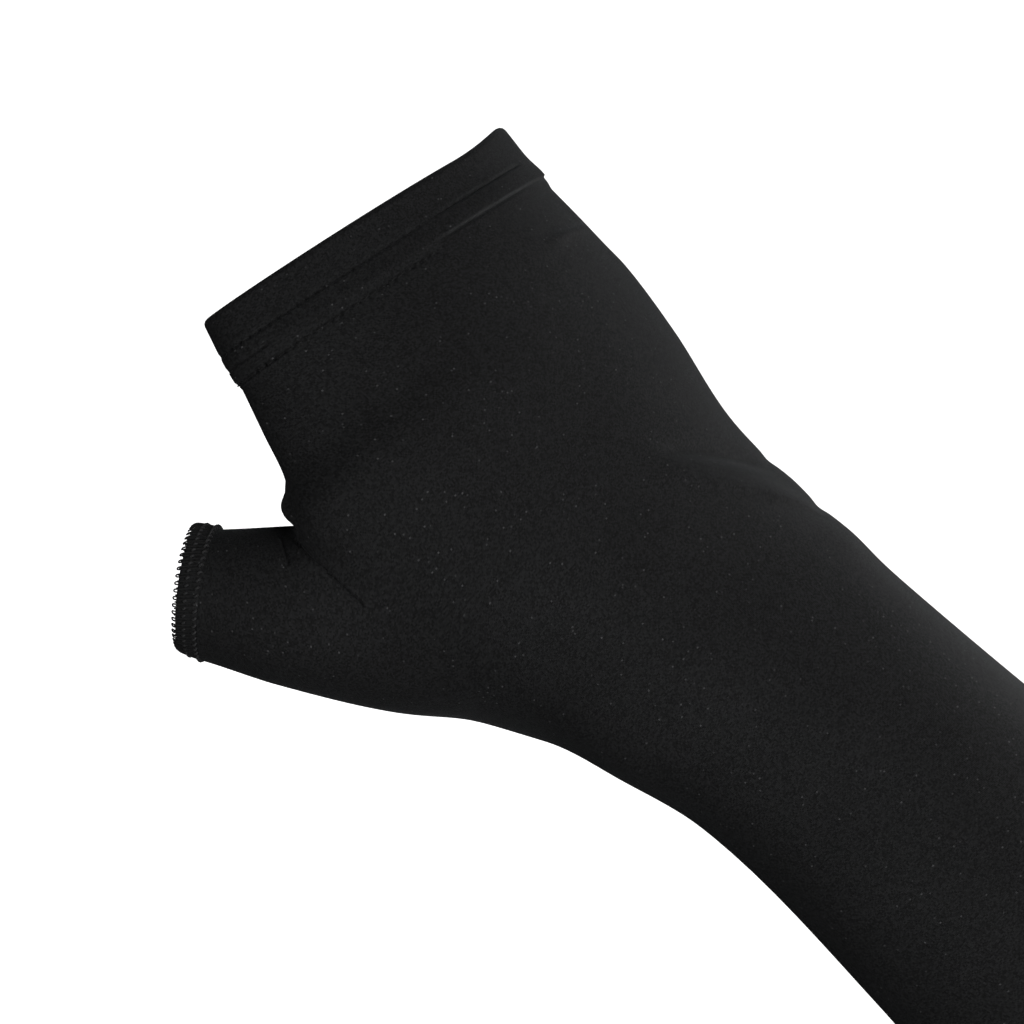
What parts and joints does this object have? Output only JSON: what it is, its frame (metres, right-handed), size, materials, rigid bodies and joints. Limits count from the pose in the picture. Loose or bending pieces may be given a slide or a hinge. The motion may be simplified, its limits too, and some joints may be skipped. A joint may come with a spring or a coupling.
{
  "type": "sun protection arm sleeve",
  "caption": "Stretch knit sleeve for a right arm, from the knuckles past the elbow, with a short thumb stall, a folded hem at the fingers and a plain hem at the upper arm.",
  "frame": {"origin": "the middle of the wrist, inside the tube, where the arm holds the sleeve", "axes": "+X up the arm towards the shoulder, +Z out of the back of the hand, -Y towards the thumb"},
  "size_m": [0.4797, 0.1051, 0.0958],
  "materials": {
    "stretch_knit": "black nylon and elastane knit, matt with a soft sheen at grazing angles",
    "hem_knit": "the same black knit folded double and topstitched",
    "overlock_thread": "black textured polyester thread in overlock loops"
  },
  "bodies": {
    "root": {"sleeve_tube": "stretch_knit", "finger_hem": "hem_knit", "arm_hem": "hem_knit", "thumb_edge": "overlock_thread"}
  },
  "joints": []
}
